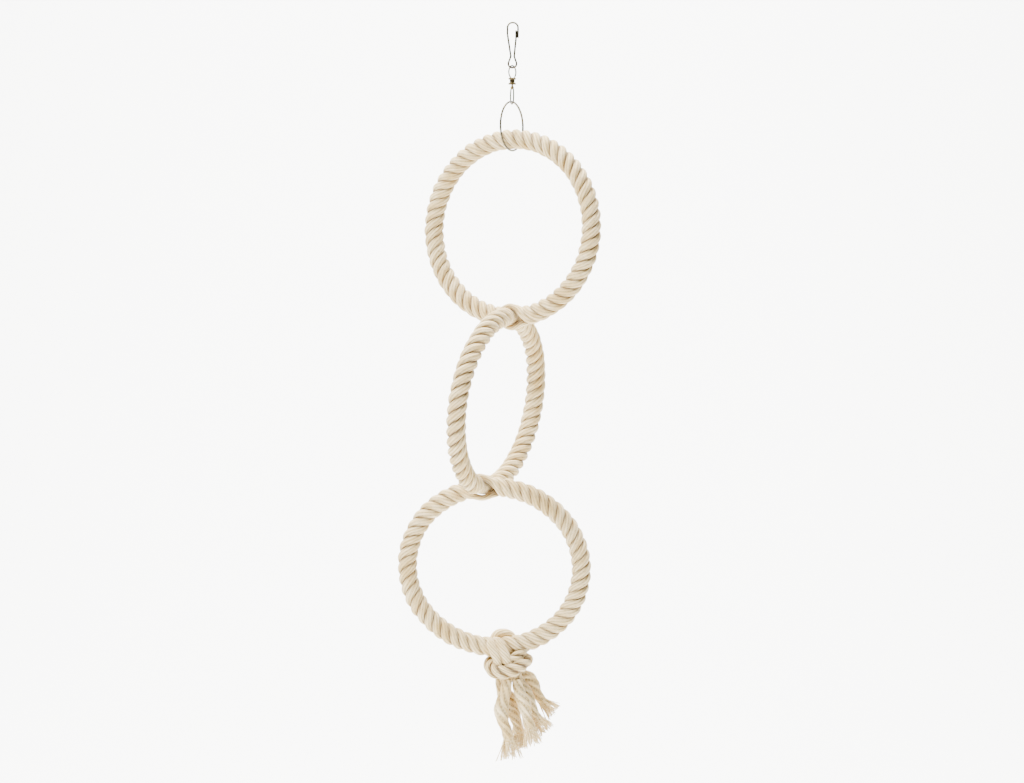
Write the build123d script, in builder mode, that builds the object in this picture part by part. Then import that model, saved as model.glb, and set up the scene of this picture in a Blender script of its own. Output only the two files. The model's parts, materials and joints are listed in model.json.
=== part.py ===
from build123d import *
from math import cos, pi, radians, sin, sqrt, tan
import os

# A hanging swing of three linked rope rings under a wire snap hook and swivel.
# Origin: inner top of the snap hook, where it sits on the bar that carries it.
# +Z is up, +Y runs along that bar, and everything else hangs below. Millimetres.

# Snap hook: one bent spring wire whose right leg is the gate
hook_wire = 1.5
head_radius = 4.2
shoulder_drop = 8.7
neck_drop = 27.0
neck_half_gap = 1.35
eye_half_width = 4.6
eye_drop = 36.1
eye_bend = 3.15
neck_bend = 1.6
shoulder_bend = 14.0
tip_drop = 12.3
lap_length = 5.2
lap_gap = 0.1
lip_wall = 0.4
pivot_play = 0.05

# Swivel: an oval eye on a barrel, and a longer oval eye on a headed pin
link_play = 0.3
eye_wire = 1.2
upper_eye_width = 8.0
upper_eye_height = 10.4
upper_eye_end_radius = 3.0
upper_eye_turn = 45.0
lower_eye_width = 5.8
lower_eye_height = 13.0
lower_eye_end_radius = 2.5
lower_eye_turn = -65.0
barrel_radius = 3.1
barrel_waist = 2.1
barrel_height = 5.4
flange_height = 1.4
barrel_lap = 0.55
pin_radius = 0.75
pin_play = 0.08
pin_head_radius = 1.35
pin_head_height = 1.0
head_play = 0.2
pin_length = 5.0
pin_ball_radius = 1.5

# Wire ring that carries the top rope ring
carrier_wire = 1.6
carrier_radius = 19.5
carrier_turn = 62.7
carrier_split = 1.2

# Rope rings: three-strand rope laid over a bent steel wire
rope_diameter = 16.0
core_wire = 2.5
core_play = 0.1
top_radius = 71.2
middle_radius = 69.2
bottom_half_long = 69.7
bottom_half_short = 63.8
bottom_end_radius = 60.0
top_turn = -28.0
middle_turn = 64.5
middle_lean = 10.3
bottom_roll = 10.5
bottom_link_offset = 21.3
seat_play = 0.3
hang_tilt = 0.8

# Where one ring's rope passes through the lay of the next
neck_radius = 5.8
neck_half_length = 9.0
neck_shoulder = 8.2
lay_play = 0.3
lay_mouth_length = 16.0
lay_wall = 4.9
lay_half_width = 8.5
core_gap = 23.0
sleeve_wall = 0.7
sleeve_length = 14.0
sleeve_angle = -62.0

# Tassel: a short rope passed behind the bottom ring, knotted and unlaid into six strands
strand_diameter = 7.0
loop_diameter = 7.6
loop_half_width = 6.8
loop_rise = 9.9
loop_back = 8.6
knot_gap = 0.3
knot_drop = -8.7
knot_neck_radius = 6.6
knot_base_radius = 13.9
knot_base_height = 2.0
wrap_radius = 13.2
wrap_diameter = 9.4
wrap_drop = -18.6
knot_bottom = wrap_drop - wrap_diameter / 2 - knot_gap - knot_base_height

# Routes of the strands, from the knot's underside to their frayed ends, in steps from it below the ring's foot
strand_routes = [
    [(-0.4, -8.1, 0), (-0.4, -8.1, -8.6), (-4.9, -9.0, -19.8), (-4.3, -9.8, -31.8), (0.6, -9.6, -42.7),
     (1.5, -9.0, -51.7)],
    [(8.0, -6.6, 0), (8.4, -6.9, -8.6), (13.7, -8.2, -18.4), (15.5, -9.2, -30.8), (19.2, -9.0, -42.2)],
    [(10.2, 1.6, 0), (10.8, 1.4, -7.0), (17.2, 0.6, -15.6), (20.6, 0.0, -26.0), (26.4, -0.6, -34.0),
     (32.4, -1.0, -39.2)],
    [(5.4, 8.1, 0), (7.2, 8.4, -6.4), (14.2, 9.0, -12.2), (22.0, 9.4, -16.2), (30.0, 9.2, -22.2),
     (38.0, 9.0, -26.6)],
    [(-2.9, 6.7, 0), (-1.6, 7.4, -8.6), (4.6, 9.0, -19.6), (8.2, 10.0, -31.6), (8.8, 10.2, -43.1)],
    [(-6.4, -1.4, 0), (-6.2, -1.3, -8.6), (-1.2, -0.3, -20.0), (5.3, 0.4, -29.7), (9.2, 0.8, -40.7),
     (9.8, 1.0, -48.7)],
]

rope_radius = rope_diameter / 2
core_channel = core_wire / 2 + core_play
os.makedirs("parts", exist_ok=True)


def level(turn):
    """The level direction that is turned that many degrees from +X towards +Y."""
    return Vector(cos(radians(turn)), sin(radians(turn)), 0)


def upright(origin, turn):
    """An upright plane through a point, whose X is the level direction at that turn."""
    return Plane(origin=origin, x_dir=level(turn), z_dir=level(turn - 90))


def save(piece, name):
    """Labels a finished piece and writes its STEP file."""
    part = piece.part
    if name.startswith(("top_ring", "middle_ring", "bottom_ring", "tassel", "knot")):
        # the rope rings hang from the wire ring's foot, tilted towards +X
        part = part.rotate(Axis((0, 0, carrier_z - carrier_radius), (0, 1, 0)), -hang_tilt)
    part.label = name
    export_step(part, f"parts/{name}.step")


# Heights down the chain, each piece hung from the one above it
wire_top = hook_wire / 2
hook_eye_z = wire_top - eye_drop
upper_eye_top_z = hook_eye_z + (hook_wire + eye_wire) / 2 + link_play
upper_eye_z = upper_eye_top_z - upper_eye_height / 2
barrel_top_z = upper_eye_z - upper_eye_height / 2 + barrel_lap
barrel_bottom_z = barrel_top_z - barrel_height
chamber_floor_z = barrel_bottom_z + flange_height
pin_top_z = chamber_floor_z + head_play + pin_head_height
pin_bottom_z = pin_top_z - pin_length
lower_eye_z = pin_bottom_z - lower_eye_height / 2
lower_eye_foot_z = pin_bottom_z - lower_eye_height
carrier_top_z = lower_eye_foot_z + (eye_wire + carrier_wire) / 2 + link_play
carrier_z = carrier_top_z - carrier_radius
carrier_seat_z = carrier_z - carrier_radius + carrier_wire / 2
top_centre_z = carrier_seat_z + seat_play + rope_radius - top_radius

# Each rope ring: its centre, its plane and the points where it is linked
top_centre = Vector(0, 0, top_centre_z)
top_plane = Plane(origin=top_centre, x_dir=level(top_turn), z_dir=level(top_turn - 90))
upper_link = top_centre - Vector(0, 0, top_radius)

lean = radians(middle_lean)
middle_up = Vector(sin(lean), 0, cos(lean))
middle_side = Vector(cos(lean), 0, -sin(lean))
link_axis = middle_side * cos(radians(middle_turn)) + Vector(0, 1, 0) * sin(radians(middle_turn))
middle_centre = upper_link - middle_up * middle_radius
middle_plane = Plane(origin=middle_centre, x_dir=link_axis, z_dir=link_axis.cross(middle_up))
lower_link = middle_centre - middle_up * middle_radius

roll = radians(bottom_roll)
bottom_side = Vector(cos(roll), 0, -sin(roll))
bottom_rise = Vector(sin(roll), 0, cos(roll))
bottom_side_radius = (
    bottom_half_short**2 + bottom_half_long**2 - 2 * bottom_half_long * bottom_end_radius
) / (2 * (bottom_half_short - bottom_end_radius))
link_height = sqrt(bottom_side_radius**2 - bottom_link_offset**2) - bottom_side_radius + bottom_half_short
bottom_reach = bottom_rise * link_height - bottom_side * bottom_link_offset
bottom_centre = lower_link - bottom_reach
bottom_plane = Plane(origin=bottom_centre, x_dir=bottom_rise, z_dir=bottom_side.cross(bottom_rise))
foot = bottom_centre - bottom_reach

# Gate pivot: the right side of the hook's neck
pivot = Vector(neck_half_gap, 0, wire_top - neck_drop)
gate_x = head_radius - hook_wire - lap_gap
tip_z = wire_top - tip_drop
gate_tip = (gate_x + 0.01, 0, tip_z + lap_length + 0.4)


def swept_wire(points, bends, diameter):
    """A round wire along straight runs that are joined by tangent bends."""
    with BuildPart() as wire:
        with BuildLine() as route:
            FilletPolyline(*points, radius=bends)
        with BuildSketch(Plane(origin=route.line @ 0, z_dir=route.line % 0)):
            Circle(diameter / 2)
        sweep()
    return wire.part


def oval_edges(half_width, half_height, end_radius):
    """Four tangent arcs that close a loop taller than it is wide."""
    side_radius = (half_width**2 + half_height**2 - 2 * half_height * end_radius) / (
        2 * (half_width - end_radius)
    )
    end_centre = half_height - end_radius
    side_centre = side_radius - half_width
    reach = sqrt(end_centre**2 + side_centre**2)
    x = side_centre * end_radius / reach
    y = end_centre + end_centre * end_radius / reach
    ThreePointArc((-x, y), (0, half_height), (x, y))
    ThreePointArc((x, y), (half_width, 0), (x, -y))
    ThreePointArc((x, -y), (0, -half_height), (-x, -y))
    ThreePointArc((-x, -y), (-half_width, 0), (-x, y))


def oval_tube(plane, half_width, half_height, end_radius, diameter):
    """A round section swept once round an oval."""
    with BuildPart() as tube:
        with BuildLine(plane) as route:
            oval_edges(half_width, half_height, end_radius)
        with BuildSketch(Plane(origin=route.line @ 0, z_dir=route.line % 0)):
            Circle(diameter / 2)
        sweep()
    return tube.part


def arc_tube(plane, radius, gap_angle, gap, diameter):
    """A round section swept round a circle, open by a gap that faces the given angle."""
    gap_turn = gap / radius * 180 / pi
    with BuildPart() as tube:
        with BuildLine(plane) as route:
            CenterArc((0, 0), radius, gap_angle + gap_turn / 2, 360 - gap_turn)
        with BuildSketch(Plane(origin=route.line @ 0, z_dir=route.line % 0)):
            Circle(diameter / 2)
        sweep()
    return tube.part


def link_plane(point):
    """A plane through a link, with its X along the rope that passes through."""
    return Plane(origin=point, x_dir=link_axis, z_dir=link_axis.cross(Vector(0, 0, 1)))


def cut_neck(point):
    """Draws the rope in where another rope's strands grip it, in the part being built."""
    outside = rope_radius * 1.5
    with BuildSketch(link_plane(point)) as groove:
        with BuildLine():
            ThreePointArc(
                (-neck_half_length, neck_shoulder), (0, neck_radius), (neck_half_length, neck_shoulder)
            )
            Polyline(
                (neck_half_length, neck_shoulder),
                (neck_half_length, outside),
                (-neck_half_length, outside),
                (-neck_half_length, neck_shoulder),
            )
        make_face()
    revolve(groove.sketch, axis=Axis(point, link_axis), mode=Mode.SUBTRACT)


def open_lay(point):
    """Swells the rope round another that passes through its lay, and opens the way for it."""
    throat = neck_radius + lay_play
    mouth = neck_shoulder + lay_play + 0.4
    flare = rope_radius + lay_mouth_length**2 / (2 * middle_radius) + lay_play
    with BuildSketch(link_plane(point)) as swell:
        with BuildLine():
            EllipticalCenterArc((0, 0), lay_half_width, throat + lay_wall, 0, arc_size=180)
            Line((-lay_half_width, 0), (lay_half_width, 0))
        make_face()
    revolve(swell.sketch, axis=Axis(point, link_axis))
    with BuildSketch(link_plane(point)) as way:
        with BuildLine():
            ThreePointArc((-neck_half_length, mouth), (0, throat), (neck_half_length, mouth))
            Polyline(
                (neck_half_length, mouth),
                (lay_mouth_length, flare),
                (lay_mouth_length, 0),
                (-lay_mouth_length, 0),
                (-lay_mouth_length, flare),
                (-neck_half_length, mouth),
            )
        make_face()
    revolve(way.sketch, axis=Axis(point, link_axis), mode=Mode.SUBTRACT)


# Snap hook, fixed leg: the lips at its end cup the gate's tip
hook_corners = [
    (head_radius, 0, tip_z),
    (head_radius, 0, wire_top),
    (-head_radius, 0, wire_top),
    (-head_radius - 0.1, 0, wire_top - shoulder_drop),
    (-neck_half_gap, 0, wire_top - neck_drop),
    (-eye_half_width, 0, hook_eye_z),
    (eye_half_width, 0, hook_eye_z),
    tuple(pivot),
]
head_bend = head_radius - 0.02
hook_bends = [head_bend, head_bend, shoulder_bend, neck_bend, eye_bend, eye_bend]
slot_width = hook_wire + 2 * lap_gap
with BuildPart() as hook_body:
    add(swept_wire(hook_corners, hook_bends, hook_wire))
    with BuildSketch(Plane.XY.offset(tip_z)):
        with Locations((gate_x + hook_wire / 2, 0)):
            Rectangle(hook_wire, slot_width + 2 * lip_wall)
        with Locations((gate_x, 0)):
            Rectangle(hook_wire + lap_gap, slot_width, mode=Mode.SUBTRACT)
            Rectangle(hook_wire, slot_width * 2, align=(Align.MAX, Align.CENTER), mode=Mode.SUBTRACT)
    extrude(amount=lap_length)
    with Locations(pivot):
        Sphere(hook_wire / 2 + pivot_play, mode=Mode.SUBTRACT)
save(hook_body, "snap_hook_body")

# Snap hook, gate: the springy leg, with a ball root in the neck's cup
gate_knee = (gate_x, 0, tip_z - 1.0)
with BuildPart() as hook_gate:
    add(swept_wire([tuple(pivot), gate_knee, gate_tip], [8.0], hook_wire))
    with Locations(pivot, gate_tip):
        Sphere(hook_wire / 2)
save(hook_gate, "snap_hook_gate")

# Swivel, upper half: an oval eye seated in a barrel with a chamber for the pin's head
upper_eye_plane = upright((0, 0, upper_eye_z), upper_eye_turn)
upper_eye_oval = (upper_eye_width / 2, upper_eye_height / 2, upper_eye_end_radius)
with BuildPart() as upper_eye:
    add(oval_tube(upper_eye_plane, *upper_eye_oval, eye_wire))
save(upper_eye, "swivel_upper_eye")

with BuildPart() as barrel:
    with BuildSketch(Plane.XZ):
        with BuildLine():
            Polyline(
                (0, barrel_bottom_z),
                (barrel_radius, barrel_bottom_z),
                (barrel_radius, barrel_bottom_z + flange_height),
                (barrel_waist, barrel_bottom_z + flange_height),
                (barrel_waist, barrel_top_z - flange_height),
                (barrel_radius, barrel_top_z - flange_height),
                (barrel_radius, barrel_top_z),
                (0, barrel_top_z),
                close=True,
            )
        make_face()
    revolve(axis=Axis.Z)
    rims = barrel.edges().filter_by(GeomType.CIRCLE).filter_by(lambda edge: edge.radius > barrel_waist + 0.1)
    fillet(rims, flange_height * 0.35)
    with BuildSketch(Plane.XY.offset(barrel_bottom_z)):
        Circle(pin_radius + pin_play)
    extrude(amount=flange_height, mode=Mode.SUBTRACT)
    with BuildSketch(Plane.XY.offset(chamber_floor_z)):
        Circle(pin_head_radius + head_play)
    extrude(amount=pin_head_height + 2 * head_play, mode=Mode.SUBTRACT)
    add(upper_eye.part, mode=Mode.SUBTRACT)
save(barrel, "swivel_barrel")

# Swivel, lower half: a longer oval eye through the ball of the headed pin
lower_eye_plane = upright((0, 0, lower_eye_z), lower_eye_turn)
lower_eye_oval = (lower_eye_width / 2, lower_eye_height / 2, lower_eye_end_radius)
with BuildPart() as lower_eye:
    add(oval_tube(lower_eye_plane, *lower_eye_oval, eye_wire))
save(lower_eye, "swivel_lower_eye")

with BuildPart() as swivel_pin:
    with BuildSketch(Plane.XY.offset(pin_top_z)):
        Circle(pin_head_radius)
    extrude(amount=-pin_head_height)
    with BuildSketch(Plane.XY.offset(pin_top_z)):
        Circle(pin_radius)
    extrude(amount=-pin_length)
    with Locations((0, 0, pin_bottom_z)):
        Sphere(pin_ball_radius)
    add(lower_eye.part, mode=Mode.SUBTRACT)
save(swivel_pin, "swivel_pin")

# Wire ring that the top rope ring hangs in, with its butted ends at the back
with BuildPart() as carrier:
    add(arc_tube(upright((0, 0, carrier_z), carrier_turn), carrier_radius, -35, carrier_split, carrier_wire))
save(carrier, "carrier_ring")

# Top rope ring: the middle ring's rope passes through its lay at the foot
with BuildPart() as top_rope:
    with Locations(top_plane):
        Torus(top_radius, rope_radius)
    open_lay(upper_link)
    with Locations(top_plane):
        Torus(top_radius, core_channel, mode=Mode.SUBTRACT)
save(top_rope, "top_ring_rope")

with BuildPart() as top_core:
    add(arc_tube(top_plane, top_radius, -90, core_gap, core_wire))
save(top_core, "top_ring_core")

# Middle rope ring: drawn in where the other two grip it, its wire's ends joined by a crimped sleeve
sleeve_gap = 2 * pi * middle_radius - sleeve_length
sleeve_outer = core_wire + 2 * sleeve_wall
with BuildPart() as core_sleeve:
    add(arc_tube(middle_plane, middle_radius, sleeve_angle + 180, sleeve_gap, sleeve_outer))
    with Locations(middle_plane):
        Torus(middle_radius, core_wire / 2, mode=Mode.SUBTRACT)
save(core_sleeve, "middle_ring_sleeve")

with BuildPart() as middle_rope:
    with Locations(middle_plane):
        Torus(middle_radius, rope_radius)
    cut_neck(upper_link)
    cut_neck(lower_link)
    with Locations(middle_plane):
        Torus(middle_radius, core_channel, mode=Mode.SUBTRACT)
    add(arc_tube(middle_plane, middle_radius, sleeve_angle + 180, sleeve_gap, sleeve_outer), mode=Mode.SUBTRACT)
save(middle_rope, "middle_ring_rope")

with BuildPart() as middle_core:
    add(arc_tube(middle_plane, middle_radius, sleeve_angle, core_play, core_wire))
save(middle_core, "middle_ring_core")

# Bottom rope ring: a little out of round, its lay opened at the top by the middle ring's rope
loop_foot = wrap_drop + wrap_diameter / 2 + knot_gap
with BuildPart() as tassel_loop:
    loop_points = [
        foot + Vector(-loop_half_width, loop_back, loop_foot),
        foot + Vector(-loop_half_width, loop_back, loop_rise),
        foot + Vector(loop_half_width, loop_back, loop_rise),
        foot + Vector(loop_half_width, loop_back, loop_foot),
    ]
    loop_bend = loop_half_width - 0.02
    add(swept_wire([tuple(p) for p in loop_points], [loop_bend, loop_bend], loop_diameter))
save(tassel_loop, "tassel_loop")

bottom_oval = (bottom_half_short, bottom_half_long, bottom_end_radius)
with BuildPart() as bottom_rope:
    add(oval_tube(bottom_plane, *bottom_oval, rope_diameter))
    open_lay(lower_link)
    add(oval_tube(bottom_plane, *bottom_oval, 2 * core_channel), mode=Mode.SUBTRACT)
    add(tassel_loop.part, mode=Mode.SUBTRACT)
save(bottom_rope, "bottom_ring_rope")

with BuildPart() as bottom_core:
    add(oval_tube(bottom_plane, *bottom_oval, core_wire))
    with Locations(Plane(origin=lower_link, x_dir=bottom_side, z_dir=bottom_rise)):
        Box(core_gap, rope_diameter, rope_diameter, mode=Mode.SUBTRACT)
save(bottom_core, "bottom_ring_core")

# Tassel: the knot's heart and its outer wrap
knot_radius = wrap_radius - wrap_diameter / 2 - knot_gap
with BuildPart() as knot_wrap:
    with Locations(foot + Vector(0, 0, wrap_drop)):
        Torus(wrap_radius, wrap_diameter / 2)
save(knot_wrap, "knot_wrap")

with BuildPart() as knot:
    with BuildSketch(Plane(origin=foot, z_dir=(0, -1, 0), x_dir=(1, 0, 0))):
        with BuildLine():
            Polyline(
                (0, knot_drop),
                (knot_neck_radius, knot_drop),
                (knot_neck_radius, loop_foot),
                (knot_radius, loop_foot),
                (knot_radius, knot_bottom + knot_base_height),
                (knot_base_radius, knot_bottom + knot_base_height),
                (knot_base_radius, knot_bottom),
                (0, knot_bottom),
                close=True,
            )
        make_face()
    revolve(axis=Axis(foot, (0, 0, 1)))
save(knot, "tassel_knot")

# Tassel: six limp strands that hang from the knot's underside
knot_foot = foot + Vector(0, 0, knot_bottom)
for place, route in enumerate(strand_routes):
    points = [knot_foot + Vector(*step) for step in route]
    runs = [after - before for before, after in zip(points, points[1:])]
    radii = []
    for before, after in zip(runs, runs[1:]):
        half_turn = radians(before.get_angle(after)) / 2
        radii.append(0.45 * min(before.length, after.length) / tan(half_turn))
    with BuildPart() as strand:
        add(swept_wire([tuple(point) for point in points], radii, strand_diameter))
        top_face = Plane(origin=points[0])
        split(bisect_by=top_face, keep=Keep.BOTTOM)
    save(strand, f"tassel_strand_{place + 1}")
    section = pi * strand_diameter**2 / 4
    print("strand", place + 1, "radii", [round(radius, 1) for radius in radii])
    print("  length", round(strand.part.volume / section, 1), "runs", [round(run.length, 1) for run in runs])
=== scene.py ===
import json
import math
import random

import bpy
import numpy as np
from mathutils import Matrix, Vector


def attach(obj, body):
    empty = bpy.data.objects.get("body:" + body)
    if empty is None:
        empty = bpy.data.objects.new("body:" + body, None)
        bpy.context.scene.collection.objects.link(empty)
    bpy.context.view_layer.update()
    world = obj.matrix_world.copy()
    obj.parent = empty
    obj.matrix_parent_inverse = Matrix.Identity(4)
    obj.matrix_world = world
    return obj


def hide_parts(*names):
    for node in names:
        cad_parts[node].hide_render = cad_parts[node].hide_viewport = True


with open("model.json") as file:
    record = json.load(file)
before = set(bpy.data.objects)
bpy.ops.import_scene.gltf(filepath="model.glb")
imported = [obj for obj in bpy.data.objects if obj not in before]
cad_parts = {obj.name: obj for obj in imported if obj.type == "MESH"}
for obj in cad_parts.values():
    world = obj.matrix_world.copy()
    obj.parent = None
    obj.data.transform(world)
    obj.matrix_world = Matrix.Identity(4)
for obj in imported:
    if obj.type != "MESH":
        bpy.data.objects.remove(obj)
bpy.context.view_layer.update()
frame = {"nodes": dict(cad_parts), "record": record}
mm = 0.001
up = np.array([0.0, 0.0, 1.0])
jointOf = {joint["name"]: joint for joint in frame["record"]["behaviour"]["joints"]}
upperLink = np.array(jointOf["middle_ring_swing"]["pos_m"])
lowerLink = np.array(jointOf["bottom_ring_swing"]["pos_m"])
linkAxis = np.array(jointOf["middle_ring_swing"]["axis"])
linkAxis = linkAxis / np.linalg.norm(linkAxis)
hangTilt = 0.8  # degrees that the chain of rings leans about Y


def unit(vectors):
    return vectors / np.maximum(np.linalg.norm(vectors, axis=-1, keepdims=True), 1e-12)


def level(turn):
    # a level direction, turned by so many degrees from X
    return np.array([math.cos(math.radians(turn)), math.sin(math.radians(turn)), 0.0])


def tilted(direction):
    # leans a direction with the chain of rings
    x, y, z = direction
    lean = math.radians(hangTilt)
    return np.array([
        x * math.cos(lean) - z * math.sin(lean), y, x * math.sin(lean) + z * math.cos(lean)])


def deselectAll():
    bpy.ops.object.select_all(action="DESELECT")


def makeOnly(piece):
    deselectAll()
    piece.select_set(True)
    bpy.context.view_layer.objects.active = piece


def linear(hexColour):
    # sRGB hex to the linear colour that a shader reads
    channels = [int(hexColour[place:place + 2], 16) / 255 for place in (1, 3, 5)]
    toLinear = [c / 12.92 if c <= 0.04045 else ((c + 0.055) / 1.055) ** 2.4 for c in channels]
    return (*toLinear, 1.0)


def addNode(owner, kind, settings=None, inputs=None, links=None):
    tree = owner.node_tree
    node = tree.nodes.new(kind)
    for name, value in (settings or {}).items():
        setattr(node, name, value)
    for name, value in (inputs or {}).items():
        node.inputs[name].default_value = value
    for name, socket in (links or {}).items():
        tree.links.new(socket, node.inputs[name])
    return node


def newMaterial(name, base, **shader):
    material = bpy.data.materials.new(name)
    material.use_nodes = True
    surface = material.node_tree.nodes["Principled BSDF"]
    surface.inputs["Base Color"].default_value = linear(base)
    for socket, value in shader.items():
        surface.inputs[socket.replace("_", " ")].default_value = value
    return material, surface


cottonLook = {
    "ridge": "#f9e5b6",       # crown of a strand, clear of the painted shade in the lay
    "body": "#c9a765",        # natural colour of the cotton
    "groove": "#6c532b",      # down in the lay: painted shade there, and the colour of the darker fibre streaks
    "fleck": "#8d7038",       # bits of seed husk left in the cotton
    "fluff": "#fff6e4",       # light caught by loose fibres
    "roughness": 0.92,
    "gloss": 0.2,
    "sheen": 0.3,
    "coarseAcross": 16.0,     # yarn streaks round a strand, 1.4 mm wide
    "coarseAlong": 95.0,      # and per metre of it, 10 mm long
    "fineAcross": 60.0,       # fibre streaks, 0.4 mm wide: real fibres are too fine to show
    "fineAlong": 330.0,       # and 3 mm long
    "mottlePerMetre": 60.0,   # paler and darker patches, 17 mm across
    "huskPerMetre": 420.0,    # flecks 2.4 mm across, coarser than real ones so that they show
    "yarnRelief": 0.8 * mm,
    "fibreRelief": 0.3 * mm,
}


def spunCotton(name, shade=0.0):
    # unbleached cotton, carded, spun and laid: matte, with streaks along the yarns and a soft edge of fluff
    look = cottonLook
    material, surface = newMaterial(
        name, look["ridge"], Roughness=look["roughness"], Sheen_Weight=look["sheen"], Sheen_Roughness=0.5)
    surface.inputs["Sheen Tint"].default_value = linear(look["fluff"])
    surface.inputs["Specular IOR Level"].default_value = look["gloss"]
    tree = material.node_tree
    place = addNode(material, "ShaderNodeTexCoord")
    # painted shade that each strand carries from its own shape, deepest in the lay
    depth = addNode(material, "ShaderNodeAttribute", {"attribute_name": "depth"})

    def streaks(across, along, detail):
        space = addNode(material, "ShaderNodeMapping", inputs={"Scale": (across, along, 1.0)},
                        links={"Vector": place.outputs["UV"]})
        return addNode(material, "ShaderNodeTexNoise",
                       inputs={"Scale": 1.0, "Detail": detail, "Roughness": 0.6},
                       links={"Vector": space.outputs["Vector"]})

    def mixed(below, colour, value, low, high, most):
        # lays a colour over what is below it, by up to "most" as the value goes from low to high
        tone = addNode(material, "ShaderNodeMapRange",
                       inputs={"From Min": low, "From Max": high, "To Min": 0.0, "To Max": most},
                       links={"Value": value})
        mix = addNode(material, "ShaderNodeMix", {"data_type": "RGBA"},
                      links={"Factor": tone.outputs["Result"]})
        if below is None:
            mix.inputs[6].default_value = linear(look["ridge"])
        else:
            tree.links.new(below, mix.inputs[6])
        mix.inputs[7].default_value = linear(colour)
        return mix.outputs[2]

    coarse = streaks(look["coarseAcross"], look["coarseAlong"], 2.0)
    fibres = streaks(look["fineAcross"], look["fineAlong"], 3.0)
    mottle = addNode(material, "ShaderNodeTexNoise",
                     inputs={"Scale": look["mottlePerMetre"], "Detail": 3.0, "Roughness": 0.55},
                     links={"Vector": place.outputs["Object"]})
    husk = addNode(material, "ShaderNodeTexNoise",
                   inputs={"Scale": look["huskPerMetre"], "Detail": 1.0},
                   links={"Vector": place.outputs["Object"]})
    colour = mixed(None, look["body"], coarse.outputs["Fac"], 0.36, 0.64, 0.75 + shade)
    colour = mixed(colour, look["body"], mottle.outputs["Fac"], 0.42, 0.66, 0.6)
    colour = mixed(colour, look["groove"], fibres.outputs["Fac"], 0.5, 0.72, 0.35 + shade)
    # painted shade: the groove colour laid over the strand's inner side and between its yarns
    colour = mixed(colour, look["groove"], depth.outputs["Fac"], 0.04, 0.62, 0.9)
    colour = mixed(colour, look["fleck"], husk.outputs["Fac"], 0.72, 0.77, 0.5)
    tree.links.new(colour, surface.inputs["Base Color"])
    yarnBump = addNode(material, "ShaderNodeBump",
                       inputs={"Strength": 0.7, "Distance": look["yarnRelief"]},
                       links={"Height": coarse.outputs["Fac"]})
    bump = addNode(material, "ShaderNodeBump",
                   inputs={"Strength": 0.6, "Distance": look["fibreRelief"]},
                   links={"Height": fibres.outputs["Fac"], "Normal": yarnBump.outputs["Normal"]})
    tree.links.new(bump.outputs["Normal"], surface.inputs["Normal"])
    return material


# nickel-plated steel: drawn to wire, bent, then plated; a thin bright line down each wire, warm and dull beside it
nickelWireLook = {"bright": "#625a48", "dull": "#3a3427", "roughness": 0.28}
# nickel-plated brass: turned and pressed, then plated; yellower where the plate is thin, and a little duller
nickelBrassLook = {"bright": "#756544", "dull": "#453a22", "roughness": 0.32}
# mild steel, drawn and left plain: an even grey, hidden in the rope
coreWireLook = {"bright": "#8f8f90", "dull": "#6f6f70", "roughness": 0.4}
metalGrain = {
    "cloudPerMetre": 260.0,    # handled patches, 4 mm across
    "scratchPerMetre": 1800.0,  # marks 0.6 mm across, coarser than real ones so that they show
    "relief": 0.1 * mm,
}


def handledMetal(name, look):
    # a metal that has been handled: clouded in colour and shine, and finely marked
    base, dull, roughness = look["bright"], look["dull"], look["roughness"]
    material, surface = newMaterial(name, base, Metallic=1.0, Roughness=roughness)
    tree = material.node_tree
    place = addNode(material, "ShaderNodeTexCoord")
    cloud = addNode(material, "ShaderNodeTexNoise",
                    inputs={"Scale": metalGrain["cloudPerMetre"], "Detail": 3.0},
                    links={"Vector": place.outputs["Object"]})
    tone = addNode(material, "ShaderNodeMapRange",
                   inputs={"From Min": 0.35, "From Max": 0.7, "To Min": 0.0, "To Max": 1.0},
                   links={"Value": cloud.outputs["Fac"]})
    colour = addNode(material, "ShaderNodeMix", {"data_type": "RGBA"},
                     links={"Factor": tone.outputs["Result"]})
    colour.inputs[6].default_value = linear(base)
    colour.inputs[7].default_value = linear(dull)
    tree.links.new(colour.outputs[2], surface.inputs["Base Color"])
    rough = addNode(material, "ShaderNodeMapRange",
                    inputs={"From Min": 0.3, "From Max": 0.75,
                            "To Min": roughness * 0.7, "To Max": roughness * 1.6},
                    links={"Value": cloud.outputs["Fac"]})
    tree.links.new(rough.outputs["Result"], surface.inputs["Roughness"])
    scratches = addNode(material, "ShaderNodeTexNoise",
                        inputs={"Scale": metalGrain["scratchPerMetre"], "Detail": 2.0},
                        links={"Vector": place.outputs["Object"]})
    bump = addNode(material, "ShaderNodeBump",
                   inputs={"Strength": 0.15, "Distance": metalGrain["relief"]},
                   links={"Height": scratches.outputs["Fac"]})
    tree.links.new(bump.outputs["Normal"], surface.inputs["Normal"])
    return material


cottonRope = spunCotton("laid_cotton_rope")
cottonStrand = spunCotton("unlaid_cotton_strand", shade=0.15)
nickelWire = handledMetal("nickel_plated_steel_wire", nickelWireLook)
nickelBrass = handledMetal("nickel_plated_brass", nickelBrassLook)
coreWire = handledMetal("drawn_steel_wire", coreWireLook)
print("materials made")


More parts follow.
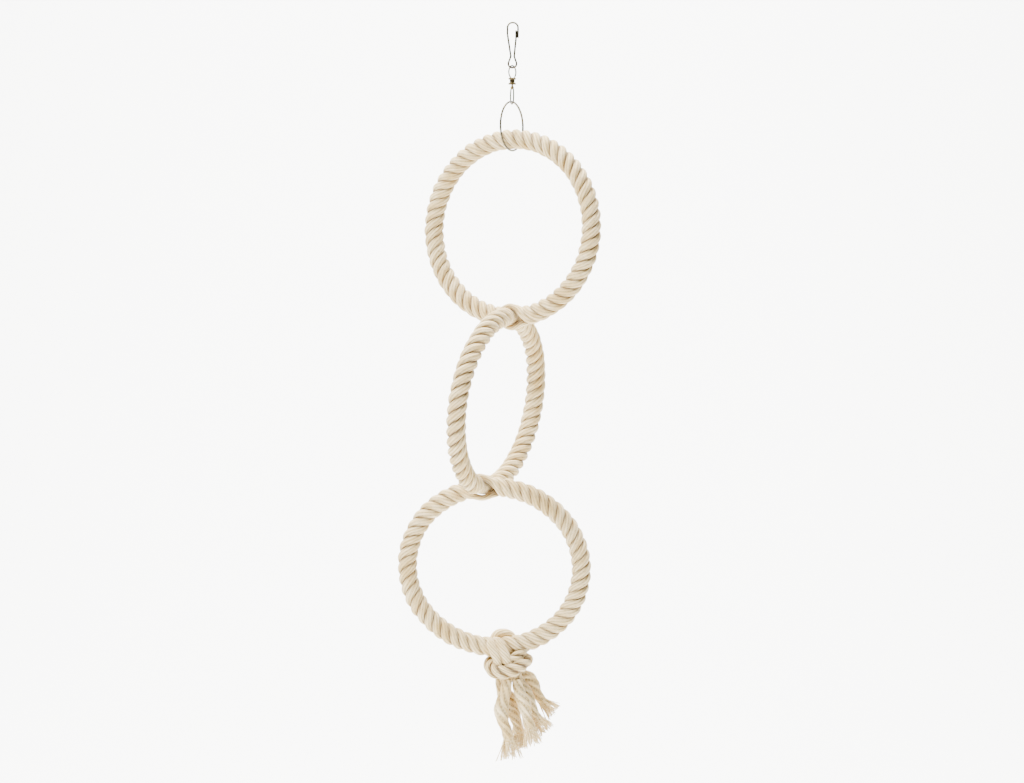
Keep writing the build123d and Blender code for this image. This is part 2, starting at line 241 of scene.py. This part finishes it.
def sweptTube(name, centre, first, second, firstRadius, secondRadius, around, yarns, yarnDepth,
              twist, closed, material, laid=1.0):
    # a grid rolled round the strand's line, its edge shaped into the yarns that the strand is spun from;
    # "depth" is painted shade in the grooves, and "laid" says how much the strand's inner side counts as one and
    # gets that shade
    count = len(centre)
    rows = count + 1 if closed else count
    deselectAll()
    bpy.ops.mesh.primitive_grid_add(x_subdivisions=around, y_subdivisions=rows - 1, size=1.0)
    piece = bpy.context.object
    piece.name = name
    mesh = piece.data
    flat = np.empty(len(mesh.vertices) * 3)
    mesh.vertices.foreach_get("co", flat)
    flat = flat.reshape(-1, 3)
    column = np.rint((flat[:, 0] + 0.5) * around).astype(int)
    row = np.rint((flat[:, 1] + 0.5) * (rows - 1)).astype(int)
    step = row % count if closed else row
    turn = column / around * 2 * math.pi - math.pi
    yarnWave = np.abs(np.cos(yarns * (turn + twist[row]) / 2)) ** 0.7
    swell = 1 - yarnDepth + yarnDepth * yarnWave
    place = (centre[step]
             + first[step] * (np.cos(turn) * swell * firstRadius[step])[:, None]
             + second[step] * (np.sin(turn) * swell * secondRadius[step])[:, None])
    mesh.vertices.foreach_set("co", place.ravel())
    layer = mesh.uv_layers.active
    corners = np.empty(len(mesh.loops), dtype=int)
    mesh.loops.foreach_get("vertex_index", corners)
    along = np.concatenate([[0], np.cumsum(np.linalg.norm(np.diff(centre, axis=0), axis=1))])
    if closed:
        along = np.append(along, along[-1] + np.linalg.norm(centre[0] - centre[-1]))
    # painted shade: darkest on the strand's inner side, against the other strands, and between its yarns
    depth = mesh.attributes.new("depth", "FLOAT", "POINT")
    innerSideShade = np.clip((0.9 - np.cos(turn)) / 0.9, 0, 1) ** 1.3
    groove = innerSideShade * np.broadcast_to(laid, len(centre))[step]
    depth.data.foreach_set("value", 0.75 * groove + 0.6 * (1 - yarnWave))
    spin = (turn + twist[row]) / (2 * math.pi)
    layer.data.foreach_set("uv", np.stack([spin[corners], along[row][corners]], axis=1).ravel())
    makeOnly(piece)
    bpy.ops.object.mode_set(mode="EDIT")
    bpy.ops.mesh.select_all(action="SELECT")
    bpy.ops.mesh.remove_doubles(threshold=1e-6)
    if not closed:
        bpy.ops.mesh.select_all(action="DESELECT")
        bpy.ops.mesh.select_non_manifold()
        bpy.ops.mesh.fill_holes(sides=0)
    bpy.ops.mesh.select_all(action="SELECT")
    bpy.ops.mesh.normals_make_consistent(inside=False)
    bpy.ops.object.mode_set(mode="OBJECT")
    bpy.ops.object.shade_smooth()
    mesh.materials.clear()
    mesh.materials.append(material)
    return piece


def tangents(points, closed):
    if closed:
        return unit(np.roll(points, -1, axis=0) - np.roll(points, 1, axis=0))
    return unit(np.gradient(points, axis=0))


def resample(points, count, closed):
    # the same line with evenly spaced points, and its length
    line = np.vstack([points, points[:1]]) if closed else points
    travel = np.concatenate([[0], np.cumsum(np.linalg.norm(np.diff(line, axis=0), axis=1))])
    wanted = np.linspace(0, travel[-1], count + 1)[:-1] if closed else np.linspace(0, travel[-1], count)
    even = np.stack([np.interp(wanted, travel, line[:, axis]) for axis in range(3)], axis=1)
    return even, travel[-1]


strandLook = {
    "yarns": 9,           # yarns that show round one strand
    "yarnDepth": 0.05,    # how deep the grooves between them are, as a share of the radius
    "knotYarnDepth": 0.06,
    "yarnLean": 0.42,     # how far the yarns lean across the strand, as a tangent
    "around": 36,         # faces round a strand
}


def yarnTwist(centre, radius, closed):
    # turns the yarns against the rope's lay, by a whole number of yarns on a closed strand
    steps = np.linalg.norm(np.diff(centre, axis=0), axis=1)
    travel = np.concatenate([[0], np.cumsum(steps)])
    if closed:
        travel = np.append(travel, travel[-1] + np.linalg.norm(centre[0] - centre[-1]))
    twist = travel * strandLook["yarnLean"] / radius
    if closed:
        pitch = 2 * math.pi / strandLook["yarns"]
        twist = twist * round(twist[-1] / pitch) * pitch / twist[-1]
    return twist


ropeLook = {
    "strands": 3,
    "radius": 8.0 * mm,
    "strandRadius": 3.62 * mm,
    "steps": 660,                # rows of faces round a ring
    "unevenness": 0.035,         # how much a strand's thickness wanders, as a share
}
neckLook = {
    "squeeze": 0.31,             # how far the rope is drawn in where another ring grips it
    "squeezeReach": 12.0 * mm,
    "tighter": 1.6,              # how much closer it is laid there
    "tighterReach": 15.0 * mm,
}
partingLook = {
    "slower": 0.93,              # how nearly the lay stops turning where the strands part
    "slowerReach": 10.5 * mm,
    "throat": 5.8 * mm,          # half the opening that the other rope fills
    "humpWidth": 17.0 * mm,      # how far along the rope the strands start to part
    "blend": 1.2 * mm,
    "pushReach": 15.0 * mm,
    "flatReach": 10.0 * mm,
    "thinner": 0.32,             # flattened against the other rope
    "wider": 0.10,
}


def fading(gap, reach, power):
    # one at the link, falling to nothing past the reach
    return np.exp(-(gap / reach) ** power)


def partedReach(thin, alongU):
    # how far from the other rope's middle a parted strand runs, as a hump along the rope
    width = partingLook["humpWidth"]
    shape = np.where(np.abs(alongU) < width, (1 + np.cos(math.pi * alongU / width)) / 2, 0.0)
    return (partingLook["throat"] + thin) * shape


def layRing(name, body, line, outward, normal, turns, startAngle, necks=(), partings=()):
    # three strands laid round a closed line; they are drawn in at necks and part round another rope at partings
    count = len(line)
    around = tangents(line, True)
    travel = np.concatenate([[0], np.cumsum(np.linalg.norm(np.diff(line, axis=0), axis=1))])
    whole = travel[-1] + np.linalg.norm(line[0] - line[-1])

    def nearestTo(link):
        at = int(np.argmin(np.linalg.norm(line - link, axis=1)))
        return at, (travel - travel[at] + whole / 2) % whole - whole / 2

    pace = np.ones(count)
    nearest = [nearestTo(link) for link in partings]
    for at, gap in nearest:
        pace = pace * (1 - partingLook["slower"] * fading(gap, partingLook["slowerReach"], 4))
    squeeze = np.ones(count)
    for link in necks:
        at, gap = nearestTo(link)
        squeeze = squeeze * (1 - neckLook["squeeze"] * fading(gap, neckLook["squeezeReach"], 6))
        pace = pace * (1 + neckLook["tighter"] * fading(gap, neckLook["tighterReach"], 4))
    angle = np.concatenate([[0], np.cumsum(pace[:-1])])
    angle = angle / (angle[-1] + pace[-1]) * 2 * math.pi * turns
    if partings:
        angle = angle - angle[nearest[0][0]]  # the start angle then holds at the parting
    angle = angle + startAngle
    made = []
    rng = np.random.default_rng(len(name) * 7 + turns)
    for place in range(ropeLook["strands"]):
        turned = angle + place * 2 * math.pi / ropeLook["strands"]
        radial = outward * np.cos(turned)[:, None] + normal * np.sin(turned)[:, None]
        wobble = np.zeros(count)
        for wave in (5, 11, 23):
            phase = wave * 2 * math.pi * travel / whole + rng.uniform(0, 6.28)
            wobble += ropeLook["unevenness"] * np.cos(phase) / wave ** 0.3
        radius = ropeLook["strandRadius"] * squeeze * (1 + wobble)
        offset = (ropeLook["radius"] - ropeLook["strandRadius"]) * squeeze
        centre = line + radial * offset[:, None]
        thin, wide, laid = radius.copy(), radius.copy(), np.ones(count)
        for link, (at, gap) in zip(partings, nearest):
            # w points the way this strand is pushed, u runs along the parted rope
            sign = 1.0 if math.cos(turned[at]) > 0 else -1.0
            w = outward[at] - linkAxis * np.dot(outward[at], linkAxis)
            w = unit(w) * sign
            u = unit(np.cross(w, linkAxis))
            offCentre = centre - link
            alongU = offCentre @ u
            alongW = offCentre @ w
            inside = fading(gap, partingLook["pushReach"], 8)
            flatten = fading(gap, partingLook["flatReach"], 4)
            laid = 1 - 0.75 * flatten
            thin = radius * (1 - partingLook["thinner"] * flatten)
            wide = radius * (1 + partingLook["wider"] * flatten)
            reach = partedReach(thin, alongU)
            pushed = (alongW + reach + np.sqrt((alongW - reach) ** 2 + partingLook["blend"] ** 2)) / 2
            centre = centre + w * ((pushed - alongW) * inside)[:, None]
            radial = unit(radial * (1 - flatten)[:, None] + w * flatten[:, None])
        direction = tangents(centre, True)
        first = unit(radial - direction * np.sum(radial * direction, axis=1, keepdims=True))
        second = np.cross(direction, first)
        twist = yarnTwist(centre, ropeLook["strandRadius"], True)
        strand = sweptTube(
            f"{name}_strand_{place + 1}", centre, first, second, thin, wide,
            strandLook["around"], strandLook["yarns"], strandLook["yarnDepth"], twist, True, cottonRope,
            laid)
        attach(strand, body)
        made.append(strand)
    return made


fine = np.linspace(0, 2 * math.pi, 2400, endpoint=False)


def ovalReach(halfSide, halfRise, endRadius):
    # a loop of four tangent arcs, wider than it is high
    sideRadius = (halfRise ** 2 + halfSide ** 2 - 2 * halfSide * endRadius) / (2 * (halfRise - endRadius))
    x, y = np.cos(fine), np.sin(fine)
    endCentre, sideCentre = halfSide - endRadius, sideRadius - halfRise
    byEnd = np.abs(x) * endCentre + np.sqrt(np.maximum((x * endCentre) ** 2 - endCentre ** 2 + endRadius ** 2, 0))
    bySide = -np.abs(y) * sideCentre + np.sqrt((y * sideCentre) ** 2 - sideCentre ** 2 + sideRadius ** 2)
    meetX = endCentre + endCentre * endRadius / math.hypot(endCentre, sideCentre)
    return np.where(np.abs(x) * byEnd > meetX, byEnd, bySide)


def ringLine(centre, side, rise, halfSide, halfRise, endRadius=None):
    # a ring's line, with the directions out of it and across it at every point
    reach = halfSide if endRadius is None else ovalReach(halfSide, halfRise, endRadius)
    points = centre + np.outer(np.cos(fine) * reach, side) + np.outer(np.sin(fine) * reach, rise)
    line, length = resample(points, ropeLook["steps"], True)
    normal = np.cross(side, rise)
    direction = tangents(line, True)
    outward = unit(np.cross(direction, np.broadcast_to(normal, direction.shape)))
    across = np.cross(direction, outward)
    return line, outward, across, length


topRing = {"radius": 71.2 * mm, "turn": -28.0, "turns": 17}
topUp = tilted(up)
topCentre = upperLink + topUp * topRing["radius"]
line, outward, across, length = ringLine(
    topCentre, tilted(level(topRing["turn"])), topUp, topRing["radius"], topRing["radius"])
topStrands = layRing(
    "top_ring", "top_ring", line, outward, across, topRing["turns"], 0.0, partings=[upperLink])
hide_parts("top_ring_rope")
print("top ring laid", round(length * 1000, 1), "mm round")

middleRing = {"turns": 20, "startAngle": 0.4}
middleCentre = (upperLink + lowerLink) / 2
middleRadius = np.linalg.norm(upperLink - lowerLink) / 2
middleUp = unit(upperLink - lowerLink)
line, outward, across, length = ringLine(middleCentre, linkAxis, middleUp, middleRadius, middleRadius)
middleStrands = layRing(
    "middle_ring", "middle_ring", line, outward, across, middleRing["turns"], middleRing["startAngle"],
    necks=[upperLink, lowerLink])
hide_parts("middle_ring_rope")
print("middle ring laid", round(length * 1000, 1), "mm round")

bottomRing = {
    "halfLong": 69.7 * mm, "halfShort": 63.8 * mm, "endRadius": 60.0 * mm,  # slightly out of round
    "roll": 10.5,
    "linkOffset": 21.3 * mm,  # the ring above grips it to one side of its top
    "turns": 16,
}
roll = math.radians(bottomRing["roll"])
bottomSide = tilted((math.cos(roll), 0.0, -math.sin(roll)))
bottomRise = tilted((math.sin(roll), 0.0, math.cos(roll)))
halfShort, halfLong, endRadius = bottomRing["halfShort"], bottomRing["halfLong"], bottomRing["endRadius"]
sideRadius = (halfShort ** 2 + halfLong ** 2 - 2 * halfLong * endRadius) / (2 * (halfShort - endRadius))
linkHeight = math.sqrt(sideRadius ** 2 - bottomRing["linkOffset"] ** 2) - sideRadius + halfShort
bottomReach = bottomRise * linkHeight - bottomSide * bottomRing["linkOffset"]
bottomCentre = lowerLink - bottomReach
foot = bottomCentre - bottomReach
line, outward, across, length = ringLine(
    bottomCentre, bottomSide, bottomRise, halfLong, halfShort, endRadius)
bottomStrands = layRing(
    "bottom_ring", "bottom_ring", line, outward, across, bottomRing["turns"], math.pi, partings=[lowerLink])
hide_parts("bottom_ring_rope")
print("bottom ring laid", round(length * 1000, 1), "mm round")


def smoothLine(points, count, name="line", closed=False):
    # the points are the control points of one NURBS spline, read back as a fine line
    curve = bpy.data.curves.new(name, "CURVE")
    curve.dimensions = "3D"
    curve.resolution_u = 24
    spline = curve.splines.new("NURBS")
    spline.points.add(len(points) - 1)
    for point, place in zip(spline.points, points):
        point.co = (*place, 1.0)
    spline.order_u = 3
    if closed:
        spline.use_cyclic_u = True
    else:
        spline.use_endpoint_u = True
    holder = bpy.data.objects.new(name, curve)
    bpy.context.collection.objects.link(holder)
    mesh = bpy.data.meshes.new_from_object(holder)
    line = np.array([vertex.co[:] for vertex in mesh.vertices])
    bpy.data.objects.remove(holder)
    bpy.data.curves.remove(curve)
    bpy.data.meshes.remove(mesh)
    return resample(line, count, closed)


def carriedFrame(line, closed, start):
    # a frame carried along the line without turning round it
    direction = tangents(line, closed)
    first = np.empty_like(line)
    first[0] = unit(start - direction[0] * np.dot(start, direction[0]))
    for place in range(1, len(line)):
        kept = first[place - 1] - direction[place] * np.dot(first[place - 1], direction[place])
        first[place] = unit(kept)
    if closed:
        last = first[-1] - direction[0] * np.dot(first[-1], direction[0])
        last = unit(last)
        turn = math.atan2(np.dot(np.cross(last, first[0]), direction[0]), np.dot(last, first[0]))
        extra = np.linspace(0, turn, len(line))
        second = np.cross(direction, first)
        first = first * np.cos(extra)[:, None] + second * np.sin(extra)[:, None]
    return direction, first, np.cross(direction, first)


frameStart = np.array([0.3, -1.0, 0.1])


def tapered(share, taper):
    # a taper is a list of (share of the length, share of the thickness)
    return np.interp(share, [stop[0] for stop in taper], [stop[1] for stop in taper])


def softStrand(name, points, radius, count, taper=((0, 1), (1, 1)), lean=1.0, material=cottonRope,
               yarns=11, depth=0.07, seed=1):
    # one loose strand along a smooth line, uneven and tapered as soft yarn is
    line, length = smoothLine(points, count, name)
    first, second = carriedFrame(line, False, frameStart)[1:]
    rng = np.random.default_rng(seed)
    share = np.linspace(0, 1, count)
    wobble = np.zeros(count)
    for wave in (1, 2, 3):
        wobble += 0.05 * np.sin(wave * 2 * math.pi * share + rng.uniform(0, 6.28)) / wave
    width = radius * (1 + wobble) * tapered(share, taper)
    travel = np.concatenate([[0], np.cumsum(np.linalg.norm(np.diff(line, axis=0), axis=1))])
    twist = travel * lean * strandLook["yarnLean"] / radius
    piece = sweptTube(name, line, first, second, width, width, yarns * 4, yarns, depth, twist, False,
                      material, laid=0.0)
    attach(piece, "bottom_ring")
    return piece, line, length


def laidTurn(name, points, ropeRadius, turns, count, strandShare=0.452, strands=3, closed=False,
             taper=((0, 1), (1, 1))):
    # a short length of laid rope along a smooth line
    line = smoothLine(points, count, name, closed)[0]
    first, second = carriedFrame(line, closed, frameStart)[1:]
    share = np.linspace(0, 1, count, endpoint=not closed)
    strandRadius = ropeRadius * strandShare
    fade = tapered(share, taper)
    made = []
    for place in range(strands):
        angle = place * 2 * math.pi / strands + 2 * math.pi * turns * share
        radial = first * np.cos(angle)[:, None] + second * np.sin(angle)[:, None]
        centre = line + radial * ((ropeRadius - strandRadius) * fade)[:, None]
        along = tangents(centre, closed)
        radial = unit(radial)
        one = unit(radial - along * np.sum(radial * along, axis=1, keepdims=True))
        two = np.cross(along, one)
        twist = yarnTwist(centre, strandRadius, closed)
        radius = np.full(count, strandRadius) * fade
        strand = sweptTube(
            f"{name}_strand_{place + 1}", centre, one, two, radius, radius, strandLook["around"],
            strandLook["yarns"], strandLook["knotYarnDepth"], twist, closed, cottonRope)
        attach(strand, "bottom_ring")
        made.append(strand)
    return made


def fromFoot(points):
    # places in millimetres from the lowest point of the bottom ring's line
    return [foot + tilted(point) * mm for point in points]


# the bight of the tassel's rope, up behind the ring's rope and over it
bightLook = {
    "radius": 3.9 * mm,
    "route": [(-11, 5, -14), (-11.5, 8.5, -6), (-11, 9.5, 3), (-8, 8, 9.0), (-2.5, 6, 10.2), (3, 7, 8.6),
              (6.5, 8.5, 2), (7.5, 8.5, -6), (6.5, 6, -14)],
}
bight = softStrand("tassel_bight", fromFoot(bightLook["route"]), bightLook["radius"], 110, seed=4)[0]
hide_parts("tassel_loop")

# two of the ring's own strands, pushed down in front by the rope that is passed through the lay
fingerLook = {
    "taper": [(0, 0.6), (0.15, 0.95), (0.85, 1.0), (0.95, 0.85), (1, 0.55)],
    "radii": [3.7 * mm, 3.8 * mm],
    "routes": [
        [(-14, -4.5, 6), (-12.5, -8.2, 1), (-9.5, -10.6, -5), (-7, -11.2, -10.5), (-6.2, -9.0, -14)],
        [(-7, -4.5, 6), (-5.5, -8.4, 1), (-2.2, -10.8, -5), (0.6, -11.4, -10.5), (1.8, -9.2, -14)],
    ],
}
for finger, (radius, route) in enumerate(zip(fingerLook["radii"], fingerLook["routes"])):
    softStrand(f"lay_finger_{finger + 1}", fromFoot(route), radius, 60, taper=fingerLook["taper"],
               seed=5 + finger)

# the outer turn of the overhand knot
turnLook = {
    "radius": 5.9 * mm,
    "turns": 4,
    "route": [(15, 5, -11), (15, -3, -10.5), (10.5, -10, -15), (2, -13, -19), (-7, -12.3, -20.2),
              (-12.8, -6.5, -17.5), (-13.3, 3, -12.5), (-7.5, 11, -13), (3, 12.5, -17), (11.5, 10.5, -15)],
}
outerTurn = laidTurn(
    "knot_turn", fromFoot(turnLook["route"]), turnLook["radius"], turnLook["turns"], 200, closed=True)
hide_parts("knot_wrap")

# the crossing turn above it, from low on the left behind the fingers to high on the right
crossLook = {
    "radius": 4.6 * mm,
    "turns": 2,
    "taper": [(0, 0.7), (0.1, 1), (0.92, 1), (1, 0.7)],
    "route": [(-9, 1, -16), (-8, -6, -13), (-2, -9, -12.5), (5, -9.6, -10), (10.5, -7.5, -6),
              (12.5, -1, -4.5), (10, 6, -7)],
}
laidTurn("knot_cross", fromFoot(crossLook["route"]), crossLook["radius"], crossLook["turns"], 120,
         taper=crossLook["taper"])

# the heart: both parts of the rope going down through the turns
heartLook = {
    "radius": 9.6 * mm,
    "turns": 0.35,
    "strands": 6,
    "taper": [(0, 0.75), (0.3, 0.95), (1, 1.0)],
    "route": [(1, 1, -8.5), (0.6, 0.6, -14), (1.4, 0.2, -20), (2.2, 0, -27)],
}
heart = laidTurn(
    "knot_heart", fromFoot(heartLook["route"]), heartLook["radius"], heartLook["turns"], 60,
    strandShare=0.5, strands=heartLook["strands"], taper=heartLook["taper"])
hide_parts("tassel_knot")
print("knot tied")


# the tassel's strands hang from the knot's underside; each route is in millimetres from there, fatness is the
# strand's share of its nominal thickness, and the frayed end has a length and a spread
knotFoot = foot + tilted((0.0, 0.0, -25.6)) * mm
tasselLook = {
    "diameter": 7.0 * mm,
    "taper": [(0, 0.85), (0.22, 0.92), (0.42, 1.2), (0.55, 1.16), (0.72, 0.92), (0.86, 0.98), (1, 0.74)],
    "lean": 1.5,
    "yarns": 5,
    "yarnDepth": 0.3,  # the yarns stand apart where a strand has come loose
}
tasselStrands = {
    "tassel_strand_1": {
        "fatness": 1.42, "fray": 11 * mm, "spread": 0.46,
        "route": [(-0.4, -8.1, 0), (-0.4, -8.1, -8.6), (-4.9, -9.0, -19.8), (-4.3, -9.8, -31.8),
                  (0.6, -9.6, -42.7), (1.5, -9.0, -51.7)]},
    "tassel_strand_2": {
        "fatness": 1.38, "fray": 9 * mm, "spread": 0.36,
        "route": [(8.0, -6.6, 0), (8.4, -6.9, -8.6), (13.7, -8.2, -18.4), (15.5, -9.2, -30.8),
                  (19.2, -9.0, -42.2)]},
    "tassel_strand_3": {
        "fatness": 1.18, "fray": 7 * mm, "spread": 0.42,
        "route": [(7.0, 1.6, 5.0), (10.2, 1.6, -3.0), (16.5, 0.8, -12.0), (19.5, 0.0, -22.0),
                  (22.5, -0.6, -30.0), (27.5, -1.0, -36.0)]},
    "tassel_strand_4": {
        "fatness": 1.26, "fray": 7 * mm, "spread": 0.50,
        "route": [(-1.0, 7.5, 3.5), (9.0, 8.0, 3.5), (18.5, 8.6, 0.0), (22.5, 9.4, -9.0),
                  (26.0, 9.2, -17.5), (33.0, 9.0, -23.5)]},
    "tassel_strand_5": {
        "fatness": 1.1, "fray": 6 * mm, "spread": 0.25,
        "route": [(-2.9, 6.7, 0), (-1.6, 7.4, -8.6), (4.6, 9.0, -19.6), (8.2, 10.0, -31.6),
                  (8.8, 10.2, -43.1)]},
    "tassel_strand_6": {
        "fatness": 1.16, "fray": 7 * mm, "spread": 0.28,
        "route": [(-6.4, -1.4, 0), (-6.2, -1.3, -8.6), (-1.2, -0.3, -20.0), (5.3, 0.4, -29.7),
                  (9.2, 0.8, -40.7), (9.8, 1.0, -48.7)]},
}
frayLook = {
    "yarns": 54,
    "yarnRadius": 0.6 * mm,
    "sides": 5,
    "joints": 10,
    "rootDepth": 9.0 * mm,  # how far up in the strand the loose yarns start
    "curl": 0.16,
    "sag": 0.10,
}


def frayedEnd(name, end, direction, radius, reach, spread, seed):
    # the strand's yarns, loose past their last turn, each one a thin bent tube
    rng = random.Random(seed)
    side = unit(np.cross(direction, np.array([0.2, 1.0, 0.1])))
    other = np.cross(direction, side)
    vertices, faces = [], []
    root, sides, joints = frayLook["rootDepth"], frayLook["sides"], frayLook["joints"]
    goldenTurn = 2.39996  # spreads the yarns evenly over the strand's end
    for yarn in range(frayLook["yarns"]):
        turn = yarn * goldenTurn
        share = math.sqrt((yarn + 0.5) / frayLook["yarns"])
        out = side * math.cos(turn) + other * math.sin(turn)
        start = end + out * share * radius * 0.8 - direction * root
        length = reach * rng.uniform(0.6, 1.0) + root
        flare = share * spread * rng.uniform(0.5, 1.3)
        curl = rng.uniform(-1, 1) * frayLook["curl"]
        sideways = np.cross(direction, out)
        line = []
        for joint in range(joints):
            t = joint / (joints - 1)
            point = (start + direction * length * t + out * length * flare * t ** 1.3
                     + sideways * length * curl * math.sin(t * 3.0 + rng.uniform(-0.2, 0.2))
                     - up * length * frayLook["sag"] * t * t)
            line.append(point)
        base = len(vertices)
        thick = frayLook["yarnRadius"] * rng.uniform(0.8, 1.2)
        for joint, point in enumerate(line):
            size = thick * (1 - 0.55 * joint / (joints - 1))
            for corner in range(sides):
                angle = corner * 2 * math.pi / sides
                vertices.append(point + (side * math.cos(angle) + other * math.sin(angle)) * size)
        for joint in range(joints - 1):
            for corner in range(sides):
                one = base + joint * sides + corner
                two = base + joint * sides + (corner + 1) % sides
                faces.append((one, two, two + sides, one + sides))
        faces.append(tuple(base + corner for corner in reversed(range(sides))))
        last = base + (joints - 1) * sides
        faces.append(tuple(last + corner for corner in range(sides)))
    mesh = bpy.data.meshes.new(name)
    mesh.from_pydata([tuple(vertex) for vertex in vertices], [], faces)
    mesh.update()
    piece = bpy.data.objects.new(name, mesh)
    bpy.context.collection.objects.link(piece)
    makeOnly(piece)
    bpy.ops.object.mode_set(mode="EDIT")
    bpy.ops.mesh.select_all(action="SELECT")
    bpy.ops.mesh.normals_make_consistent(inside=False)
    bpy.ops.uv.cube_project(cube_size=0.05)
    bpy.ops.object.mode_set(mode="OBJECT")
    bpy.ops.object.shade_smooth()
    mesh.materials.append(cottonStrand)
    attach(piece, "bottom_ring")
    return piece


for number, (name, own) in enumerate(tasselStrands.items()):
    points = [knotFoot + tilted(step) * mm for step in own["route"]]
    strandRadius = tasselLook["diameter"] / 2
    strand, line, length = softStrand(
        name + "_yarns", points, strandRadius * own["fatness"], 110, taper=tasselLook["taper"],
        lean=tasselLook["lean"], material=cottonStrand, yarns=tasselLook["yarns"],
        depth=tasselLook["yarnDepth"], seed=10 + number)
    end = frayedEnd(name + "_frayed_end", line[-1], tangents(line, False)[-1], strandRadius, own["fray"],
                    own["spread"], 40 + number)
    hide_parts(name)
print("tassel hung")

# the metal pieces keep the design's own shape and only get their finish
finishes = {
    "snap_hook_body": nickelWire,
    "snap_hook_gate": nickelWire,
    "swivel_upper_eye": nickelWire,
    "swivel_barrel": nickelBrass,
    "swivel_pin": nickelBrass,
    "swivel_lower_eye": nickelWire,
    "carrier_ring": nickelWire,
    "top_ring_core": coreWire,
    "middle_ring_core": coreWire,
    "middle_ring_sleeve": coreWire,
    "bottom_ring_core": coreWire,
}
for node, finish in finishes.items():
    for slot in frame["nodes"][node].material_slots:
        slot.material = finish
print("metal finished")

# a sweep of white paper: level floor, quarter round, upright back
coveLook = {
    "paper": "#f7f7f5",
    "floorZ": -0.80,
    "frontY": -4.0,
    "backY": 2.6,
    "rise": 4.0,
    "halfWidth": 5.0,
    "bend": 1.2,
}
paper = newMaterial("studio_paper", coveLook["paper"], Roughness=0.9)[0]
deselectAll()
bpy.ops.mesh.primitive_grid_add(x_subdivisions=2, y_subdivisions=60, size=1.0)
cove = bpy.context.object
cove.name = "studio_cove"
floorZ, frontY, backY, bend = coveLook["floorZ"], coveLook["frontY"], coveLook["backY"], coveLook["bend"]
flatLength = backY - frontY - bend
arcLength = bend * math.pi / 2
for vertex in cove.data.vertices:
    x = vertex.co.x * 2 * coveLook["halfWidth"]
    travel = (vertex.co.y + 0.5) * (flatLength + arcLength + coveLook["rise"])
    if travel < flatLength:
        vertex.co = (x, travel + frontY, floorZ)
    elif travel < flatLength + arcLength:
        turned = (travel - flatLength) / bend
        vertex.co = (x, flatLength + frontY + bend * math.sin(turned), floorZ + bend * (1 - math.cos(turned)))
    else:
        vertex.co = (x, backY, floorZ + bend + travel - flatLength - arcLength)
bpy.ops.object.shade_smooth()
cove.data.materials.append(paper)

lightLook = {
    "key_softbox": {"place": (-1.5, -1.1, 1.6), "aim": (0, 0, -0.3), "size": 0.5, "power": 200},
    "fill_softbox": {"place": (1.8, -1.8, 0.2), "aim": (0, 0, -0.3), "size": 1.6, "power": 4},
    "back_wash": {"place": (0, 0.9, 2.4), "aim": (0, 2.6, 0.2), "size": 2.4, "power": 900},
}
for name, look in lightLook.items():
    lamp = bpy.data.lights.new(name, "AREA")
    lamp.shape = "SQUARE"
    lamp.size = look["size"]
    lamp.energy = look["power"]
    holder = bpy.data.objects.new(name, lamp)
    holder.location = look["place"]
    aim = Vector(look["aim"]) - Vector(look["place"])
    holder.rotation_euler = aim.to_track_quat("-Z", "Y").to_euler()
    bpy.context.collection.objects.link(holder)

# the air is bright behind the swing and dim as a light on it
airLook = {"colour": "#ffffff", "glow": 0.16, "seen": 2.0}
world = bpy.data.worlds.new("studio_air")
world.use_nodes = True
background = world.node_tree.nodes["Background"]
background.inputs["Color"].default_value = linear(airLook["colour"])
seen = addNode(world, "ShaderNodeLightPath")
glow = addNode(world, "ShaderNodeMapRange", inputs={"To Min": airLook["glow"], "To Max": airLook["seen"]},
               links={"Value": seen.outputs["Is Camera Ray"]})
world.node_tree.links.new(glow.outputs["Result"], background.inputs["Strength"])
bpy.context.scene.world = world

viewLook = {"distance": 2.5, "lookX": 0.0024, "lookZ": -0.2944, "widthSeen": 0.8192, "roll": -0.6}
cameraData = bpy.data.cameras.new("view_camera")
cameraData.sensor_width = 36.0
cameraData.lens = viewLook["distance"] * cameraData.sensor_width / viewLook["widthSeen"]
camera = bpy.data.objects.new("view_camera", cameraData)
camera.location = (viewLook["lookX"], -viewLook["distance"], viewLook["lookZ"])
camera.rotation_euler = (math.radians(90), math.radians(viewLook["roll"]), 0)
bpy.context.collection.objects.link(camera)
bpy.context.scene.camera = camera
print("studio set")
